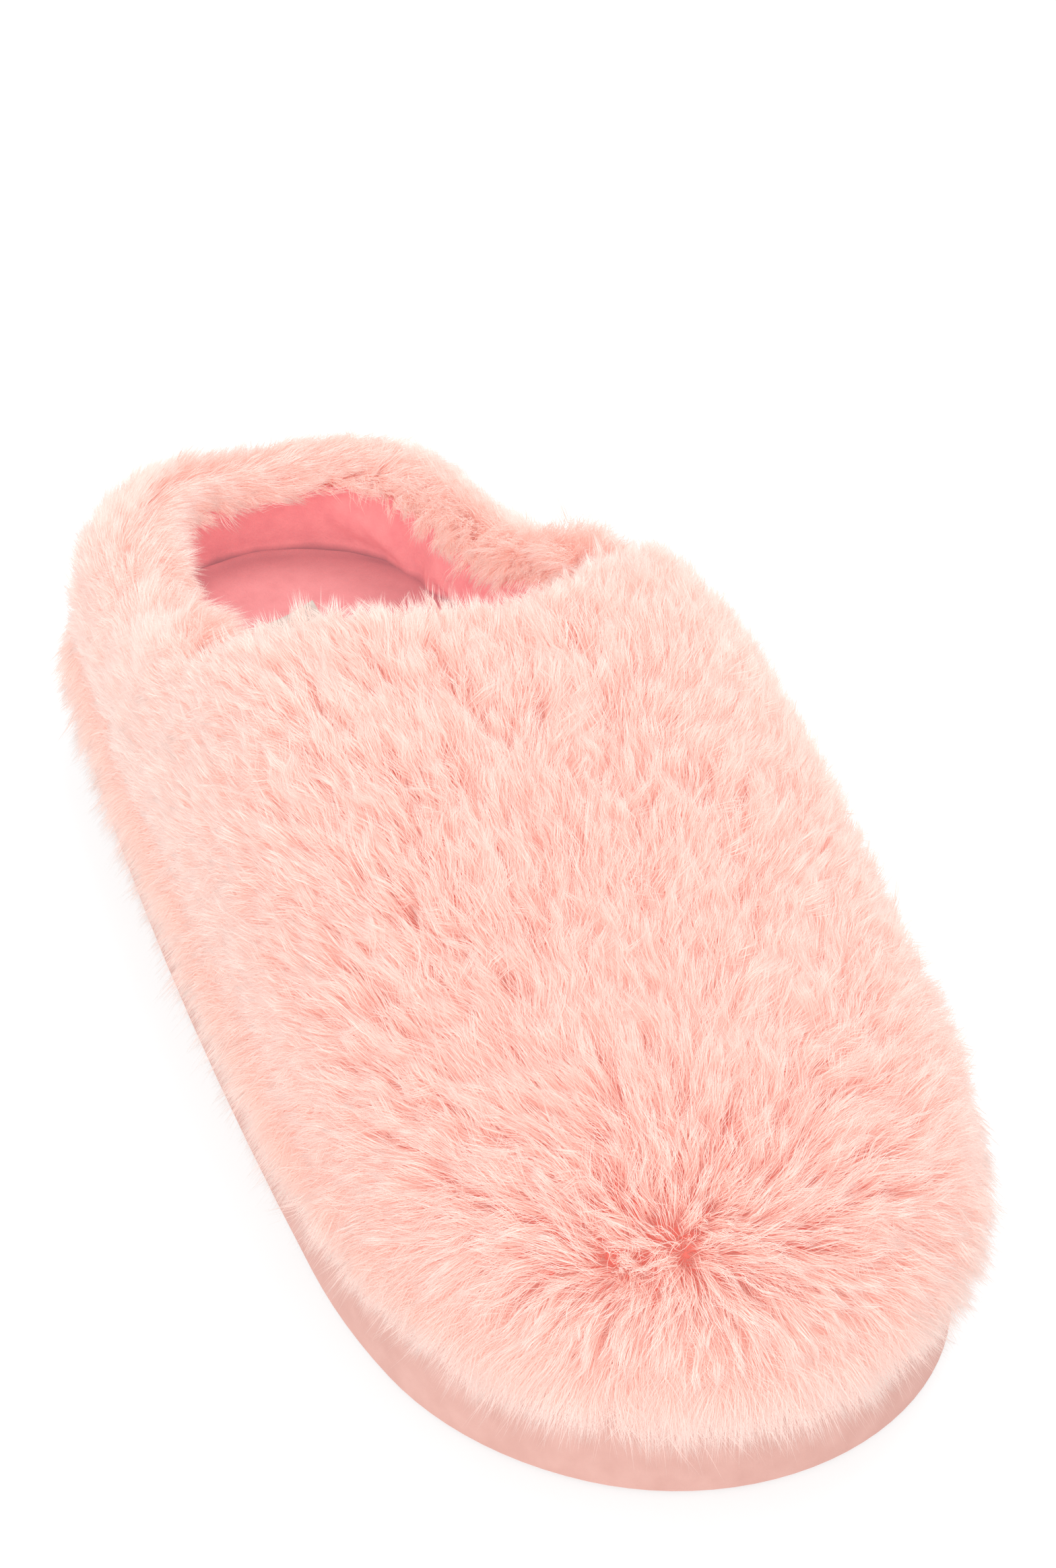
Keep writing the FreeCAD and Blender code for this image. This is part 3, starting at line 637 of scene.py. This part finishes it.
def stations(spacing, front):
    """Points round the outline behind front, anticlockwise: their arcs' centres and radii, and directions."""
    found = []
    for index, (start, end) in enumerate(zip(TURNS, TURNS[1:])):
        radius = ARC_RADII[index]
        count = max(int(math.radians(end - start) * radius / spacing), 2)
        for angle in np.linspace(start, end, count, endpoint=False):
            if (CENTRES[index] + facing(angle) * radius)[1] > front:
                found.append((angle + 360 * (angle < 270 and front > TOE_Y), CENTRES[index], radius))
    found.sort(key=lambda item: item[0])
    angles = np.array([item[0] for item in found], float)
    return np.array([item[1] for item in found]), np.array([item[2] for item in found]), angles


def wall(route, insets, heights):
    """A grid with one column of points at each station, at these insets and heights."""
    centres, radii, angles = route
    plan = centres[:, None] + facing(angles)[:, None] * (radii[:, None] - insets)[..., None]
    return np.concatenate([plan, (heights + 0 * plan[..., 0])[..., None]], -1)


def collar_skin():
    """Backing of the heel piece's fur: up the outside, over the topline and down inside the collar."""
    route = stations(1.4, SIDE_SEAM - 1)
    up = np.linspace(0, 1, 26)
    rise = wall(route, FUR_INSET + 0.01 + (ROLL_INSET - FUR_INSET) * up ** 2.2, 0)
    rise[..., 2] = np.maximum(skin_height(rise[..., 0], rise[..., 1]), PLATFORM_TOP)
    inward, down = roll_section(14)
    roll = wall(route, ROLL_INSET + inward[1:], rise[:, -1:, 2] - down[1:])
    grid = np.concatenate([rise, roll], 1)
    grid[:, 0, 2] = PLATFORM_TOP
    return grid.reshape(-1, 3), grid_faces(len(grid), grid.shape[1])


def grow_collar():
    """The heel piece's fur: combed down outside, and forward round the rolled topline."""
    verts, faces = collar_skin()
    backing("heel_fur_backing", verts, faces, "heel_fur")
    rolled = smooth((opening_depth(verts[faces].mean(1), FUR_INSET) - 1) / 5)
    roots, normals, over = sample(verts, faces, 1 + 1.6 * rolled)
    turned = smooth((opening_depth(roots, FUR_INSET) - 1.5) / 6)
    inside = smooth((opening_depth(roots, ROLL_INSET) - 0.5) / 3)
    low = smooth((38 - roots[:, 2]) / 12) * (1 - turned)
    fringe = smooth((FRINGE_TOP - roots[:, 2]) / FRINGE_DEPTH) * (1 - turned)
    back = smooth((roots[:, 1] - 70) / 45)
    along = np.stack([1.1 * back, -0.9 + 0.6 * back, 0 * back], -1)
    flow = away_from_whorl(roots) * (1 - turned)[:, None] + 0.25 * over + along * turned[:, None]
    flow[:, 2] -= 0.9 * low
    length = (PILE_LENGTH + (LOW_LENGTH - PILE_LENGTH) * low) * (1 - 0.28 * inside)
    height = PILE_HEIGHT + (LOW_HEIGHT - PILE_HEIGHT) * low + 1.4 * fringe
    height *= 1 - 0.15 * turned - 0.3 * inside
    length = np.minimum(length, low_reach(roots, height))
    top = smooth((roots[:, 2] - 46) / 8) * (1 - inside)
    inner_side = smooth((64 - roots[:, 1]) / 20) * (roots[:, 0] > 0)
    fluffy = 1 + 0.28 * top * np.maximum(back, inner_side)
    grow("heel_pile", roots, normals, flow, length * fluffy, height * fluffy, 0.7)


def roll_section(count):
    """The fur's roll over the topline, as distances inward and down from its top."""
    turn = np.linspace(0, math.radians(ROLL_TURN), count)
    return ROLL_RADIUS * np.sin(turn), ROLL_RADIUS * (1 - np.cos(turn))


def throat_grid(inset, down, side_steps=0):
    """A grid round the opening's front edge, at these distances in and down from it.

    Its ends go on straight back to the side seams, in side_steps steps each.
    """
    centre, radius = throat_circle(ROLL_INSET)
    around = np.linspace(-math.pi, 0, 110)
    side = np.array([[1.0, 0.0]] * side_steps).reshape(-1, 2)
    way = np.concatenate([-side, np.stack([np.cos(around), np.sin(around)], -1), side])
    back = np.linspace(SIDE_SEAM + 1 - centre[1], 1, side_steps)
    shift = np.concatenate([back, np.zeros(len(around)), back[::-1]])
    x = centre[0] + way[:, :1] * (radius - inset)
    y = centre[1] + way[:, 1:] * (radius - inset) + shift[:, None]
    top = skin_height(centre[0] + way[:, 0] * radius, centre[1] + way[:, 1] * radius + shift)
    verts = np.stack([x, y, top[:, None] - down + 0 * x], -1).reshape(-1, 3)
    return verts, grid_faces(len(way), len(down))


def grow_throat():
    """The fur that rolls over the vamp's edge into the foot opening."""
    verts, faces = throat_grid(*roll_section(14))
    backing("throat_fur_backing", verts, faces)
    roots, normals, over = sample(verts, faces, 2.3)
    flow = over + np.array([[0.0, 0.2, 0.0]])
    length, height = np.full(len(roots), THROAT_LENGTH), np.full(len(roots), THROAT_HEIGHT)
    grow("throat_pile", roots, normals, flow, length, height)


def hem_level(roots):
    """Where the fringe ends: lowest over the toe's outer side, a few millimetres higher elsewhere."""
    toe = smooth((-95 - roots[:, 1]) / 30) * smooth((35 - roots[:, 0]) / 50)
    return FUR_HEM + 4.0 * (1 - toe)


def grow_hem():
    """The lowest fur, which hangs over the platform's top edge all round."""
    route = stations(1.5, TOE_Y - 9)
    rise = np.linspace(0, 1, 6)
    front = smooth((TOE_FRONT - wall(route, np.zeros(1), 0)[:, :, 1]) / 12)
    insets = 0.3 + (4.4 + 1.5 * front) * rise ** (1.4 + 0.3 * front)
    grid = wall(route, insets, HEM_BOTTOM + HEM_RISE * rise)
    verts = grid.reshape(-1, 3)
    faces = grid_faces(len(grid), grid.shape[1], around=True)
    backing("hem_fur_backing", verts, faces)
    roots, normals, _ = sample(verts, faces, 1.5)
    flow = away_from_whorl(roots) * 0.2
    flow[:, 2] -= 1.0
    length = np.hypot(roots[:, 2] - hem_level(roots), HEM_HEIGHT) + 0.6
    height = HEM_HEIGHT * (1 + 1.3 * smooth((roots[:, 2] - HEM_BOTTOM) / HEM_RISE))
    grow("hem_pile", roots, normals, flow, np.maximum(length, height + 1), height, 0.4)


grow_vamp()
grow_throat()
grow_collar()
grow_hem()


# ---------------------------------------------------------------- footbed, linings, label and stitches

SETTLE_FRAMES = 20


def settle(item, pressure, cap, growth, pinned):
    """Cloth simulation of a closed piece: it puffs by up to cap mm, and its stuff is larger by growth."""
    group = item.vertex_groups.new(name="pinned")
    group.add([int(index) for index in pinned], 1.0, "REPLACE")
    cloth = item.modifiers.new("cloth", "CLOTH")
    cloth.settings.quality = 6
    cloth.settings.mass = 0.15
    cloth.settings.use_pressure = True
    cloth.settings.uniform_pressure_force = pressure
    cloth.settings.shrink_min = -growth
    cloth.settings.vertex_group_mass = "pinned"
    cloth.settings.effector_weights.gravity = 0
    cloth.point_cache.frame_end = SETTLE_FRAMES
    for number in range(1, SETTLE_FRAMES + 1):
        bpy.context.scene.frame_set(number)
    count = len(item.data.vertices)
    before, after = np.empty(count * 3), np.empty(count * 3)
    item.data.vertices.foreach_get("co", before)
    settled = item.evaluated_get(bpy.context.evaluated_depsgraph_get())
    settled.data.vertices.foreach_get("co", after)
    move = (after - before).reshape(-1, 3)
    far = np.linalg.norm(move, axis=1, keepdims=True)
    move *= np.minimum(1, cap * MM / np.maximum(far, 1e-9))
    item.modifiers.remove(cloth)
    item.data.vertices.foreach_set("co", before + move.ravel())
    item.data.update()
    bpy.context.scene.frame_set(1)


def subdivide(item):
    surface = item.modifiers.new("subdivision", "SUBSURF")
    surface.levels = surface.render_levels = 1


def footbed():
    """The footbed's plush cover: a crowned pad, sewn down round its edge where it meets the lining."""
    trace = trace_outline(CENTRES, ARC_RADII, LINING_INNER - 0.4, 24)
    middle = np.array([0.0, 4.0])
    rings = np.sin(np.linspace(0.02, 1, 26) * math.pi / 2)
    plan = middle + (trace - middle)[None] * rings[:, None, None]
    edge_drop = 1.9 * rings ** 40
    level = np.zeros((*plan.shape[:2], 1))
    top = np.concatenate([plan, level + (COVER_TOP + 0.3 - edge_drop)[:, None, None]], -1)
    under = np.concatenate([plan, level + COVER_TOP - 2.8], -1)[::-1]
    grid = np.concatenate([top, under[1:]])
    rows, columns = grid.shape[:2]
    faces = [tuple(face) for face in closed_rows(rows, columns)]
    faces += [tuple(range(columns)), tuple(reversed(range((rows - 1) * columns, rows * columns)))]
    item = new_object("footbed_cushion", grid.reshape(-1, 3), faces, FOOTBED)
    pinned = np.arange((len(rings) - 1) * columns, rows * columns)
    settle(item, 2.5, 1.2, 0.015, pinned)
    subdivide(item)
    belong(item, "footbed_cover")


def closed_rows(rows, columns):
    """Quads of a grid whose every row is a closed ring."""
    i, j = np.meshgrid(np.arange(rows - 1), np.arange(columns), indexing="ij")
    k = (j + 1) % columns
    quads = [i * columns + j, i * columns + k, (i + 1) * columns + k, (i + 1) * columns + j]
    return np.stack(quads, -1).reshape(-1, 4)


def collar_lining():
    """Plush lining of the heel: a padded wall, gathered where it meets the footbed."""
    route = stations(1.6, SIDE_SEAM)
    rise = np.linspace(0, 1, 15)
    bottom = COVER_TOP - 2.4
    rim = wall(route, np.array([ROLL_INSET]), 0)[:, 0]
    rim_height = skin_height(rim[:, 0], rim[:, 1]) - 1.6
    inside = wall(route, LINING_INNER - 0.5 + 1.6 * np.sin(math.pi * rise ** 0.7), 0)
    inside[..., 2] = bottom + (rim_height[:, None] - bottom) * rise
    outside = wall(route, np.full(len(rise), LINING_INNER - 2.2), 0)
    outside[..., 2] = inside[..., 2]
    section = np.concatenate([inside, outside[:, ::-1]], 1)
    count, around = section.shape[:2]
    faces = [tuple(face[::-1]) for face in closed_rows(count, around)]
    faces += [tuple(range(around)), tuple(reversed(range((count - 1) * around, count * around)))]
    item = new_object("collar_lining", section.reshape(-1, 3), faces, LINING)
    number = np.arange(count * around).reshape(count, around)
    pinned = np.concatenate([number[:, 0], number[:, len(rise) - 1:].ravel(), number[0], number[-1]])
    settle(item, 1.5, 1.8, 0.09, np.unique(pinned))
    subdivide(item)
    belong(item, "heel_lining")


def vamp_shell(rows, inset, drop, edge, margin):
    """A layer of the vamp, this far in and down from the fur's outside, that ends margin short of an edge."""
    first = TOE_Y + inset + 0.4
    y = first + (SIDE_SEAM - 0.5 - first) * (1 - np.cos(np.linspace(0, math.pi / 2, rows)))
    angle = np.linspace(0, math.pi, 60)
    verts = dome(y[:, None], angle[None], inset, drop, DOME_BASE).reshape(-1, 3)
    faces = grid_faces(rows, len(angle))
    middle = verts[faces].mean(1)
    keep = (opening_depth(middle, edge) < -margin) & (middle[:, 2] > COVER_TOP - 3)
    return only_used(verts, faces[keep])


def vamp_lining():
    """Plush lining of the vamp, seen through the foot opening."""
    item = new_object("vamp_lining_plush", *vamp_shell(70, 11.6, 13.1, ROLL_INSET + 1, 0), LINING)
    wave = bpy.data.textures.new("lining_wave", "CLOUDS")
    wave.noise_scale = 12 * MM
    ripple = item.modifiers.new("ripple", "DISPLACE")
    ripple.texture = wave
    ripple.strength = -1.2 * MM
    ripple.mid_level = 0.0
    thicken(item, -1.4)
    belong(item, "vamp_lining")


def throat_facing():
    """Plush facing below the throat's rolled fur, where it meets the vamp's lining."""
    grid = throat_grid(np.linspace(2.6, 4.2, 6), np.linspace(1.6, 9.0, 6), side_steps=8)
    item = new_object("throat_facing", *grid, LINING)
    thicken(item, 1.0)
    belong(item)


def vamp_interlining():
    """Foam interlining between the fur's backing and the lining, cut back from the foot opening."""
    item = new_object("vamp_interlining", *vamp_shell(60, 8.4, 9.4, ROLL_INSET, 1.5), FOAM)
    thicken(item, 1.5)
    belong(item, "vamp_padding")


CURL = 14                                                  # how far from its corner the label curls


def label():
    """The woven label sewn to the footbed on three sides, its free corner curling up."""
    low, high = (np.array(corner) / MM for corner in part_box("footbed_label"))
    width, length = (high - low)[:2]
    columns, rows = 25, 35
    across, along = np.meshgrid(np.linspace(0, 1, columns), np.linspace(0, 1, rows))
    x = low[0] + width * across
    y = low[1] + length * along
    corner = np.clip(((across - 1) * width + (along - 1) * length + CURL) / CURL, 0, 1)
    lift = 4.2 * corner ** 1.6
    pull = corner ** 2.2
    z = COVER_TOP + 0.9 + lift + 0.1 * np.sin(across * 9 + along * 4)
    verts = np.stack([x - pull, y - pull, z], -1).reshape(-1, 3)
    item = new_object("label_sheet", verts, grid_faces(rows, columns)[:, ::-1], LABEL)
    thicken(item, 0.4)
    belong(item, "footbed_label")


def stitches(name, places, directions, node):
    """Short stitches, each a capsule of thread along its direction."""
    sides, radius, half = 8, 0.45, 1.6
    profile = [(-half, 0.02), (-half + 0.25, 0.8), (-half + 0.8, 1),
               (half - 0.8, 1), (half - 0.25, 0.8), (half, 0.02)]
    verts, faces = [], []
    for place, direction in zip(places, directions):
        side = unit(np.cross(direction, [0, 0, 1.0]))
        other = np.cross(side, direction)
        base = len(verts)
        for offset, thickness in profile:
            for corner in range(sides):
                angle = corner * 2 * math.pi / sides
                verts.append(place + direction * offset
                             + radius * thickness * (math.cos(angle) * side + math.sin(angle) * other))
        faces += [tuple(base + face) for face in closed_rows(len(profile), sides)]
        faces += [tuple(base + sides - 1 - i for i in range(sides))]
        faces += [tuple(base + (len(profile) - 1) * sides + i for i in range(sides))]
    item = new_object(name, verts, faces, THREAD)
    belong(item, node)


def topline_stitches():
    """Whip stitches that hold the rolled fur to the lining, out of sight under the roll."""
    route = stations(4.8, SIDE_SEAM + 3)
    angles = route[2]
    inward, down = ROLL_RADIUS * 0.2, ROLL_RADIUS * 0.6
    plan = wall(route, np.array([ROLL_INSET + inward]), 0)[:, 0]
    rim = wall(route, np.array([ROLL_INSET]), 0)[:, 0]
    plan[:, 2] = skin_height(rim[:, 0], rim[:, 1]) - down
    inward_way = np.column_stack([-facing(angles), np.full(len(angles), -0.8)])
    stitches("topline_stitches", plan, unit(inward_way), "topline_thread")


footbed()
collar_lining()
vamp_lining()
throat_facing()
vamp_interlining()
label()
topline_stitches()


# ---------------------------------------------------------------- carried-over CAD nodes

def dress(material, *nodes):
    for node in nodes:
        item = bpy.data.objects[node]
        item.data.materials.clear()
        item.data.materials.append(material)


dress(RUBBER, "outsole")
dress(SUEDE, "sidewall_wrap")
dress(FOAM, "midsole", "footbed_foam", "heel_padding")
dress(BOARD, "insole_board", "toe_puff", "heel_counter")
dress(TAPE, "topline_tape")
dress(THREAD, "label_thread", "side_seam_thread_outer", "side_seam_thread_inner")


# ---------------------------------------------------------------- floor, lights and camera

LIT_PLACE = (0, 0, 0.04)                                   # in metres, as all of the lights and camera

def stage_white():
    """A pale floor that stays white, and greys softly where the slipper shades it."""
    material, _, shader = principled("floor")
    shader.inputs["Base Color"].default_value = (0.38, 0.43, 0.44, 1)
    shader.inputs["Roughness"].default_value = 0.9
    shader.inputs["Emission Color"].default_value = (1, 1, 1, 1)
    shader.inputs["Emission Strength"].default_value = 0.6
    return material


def floor():
    size = 3000
    corners = [(-size, -size, 0), (size, -size, 0), (size, size, 0), (-size, size, 0)]
    plane = new_object("floor", corners, [(0, 1, 2, 3)], stage_white())


def area_light(name, place, size, power):
    """A round white light that faces the slipper."""
    lamp = bpy.data.lights.new(name, "AREA")
    lamp.shape = "DISK"
    lamp.size = size
    lamp.energy = power
    item = bpy.data.objects.new(name, lamp)
    item.location = place
    item.rotation_euler = (Vector(LIT_PLACE) - Vector(place)).to_track_quat("-Z", "Y").to_euler()
    bpy.context.collection.objects.link(item)


def studio():
    """An even white surround with one light from above and one from the outer side of the toe."""
    world = bpy.data.worlds.new("studio")
    world.use_nodes = True
    background = world.node_tree.nodes["Background"]
    background.inputs["Color"].default_value = (1, 1, 1, 1)
    background.inputs["Strength"].default_value = 1.0
    scene = bpy.context.scene
    scene.world = world
    area_light("key", (0.4, 0.2, 1.1), 0.8, 7.5)
    area_light("fill", (-0.8, -0.9, 0.45), 1.0, 7)
    scene.view_settings.view_transform = "Standard"
    scene.cycles.diffuse_bounces = 8
    scene.cycles.max_bounces = 12


CAMERA_AZIMUTH, CAMERA_ELEVATION = -24.43, 33.03
CAMERA_TARGET = (0.03862, 0.05574, 0)
CAMERA_DISTANCE = 0.60705


def camera():
    azimuth, elevation = math.radians(CAMERA_AZIMUTH), math.radians(CAMERA_ELEVATION)
    back = Vector((math.sin(azimuth) * math.cos(elevation), -math.cos(azimuth) * math.cos(elevation),
                   math.sin(elevation)))
    lens = bpy.data.cameras.new("camera")
    lens.lens = 70
    lens.clip_start = 0.01
    item = bpy.data.objects.new("camera", lens)
    item.location = Vector(CAMERA_TARGET) + back * CAMERA_DISTANCE
    item.rotation_euler = (-back).to_track_quat("-Z", "Y").to_euler()
    bpy.context.collection.objects.link(item)
    bpy.context.scene.camera = item


floor()
studio()
camera()
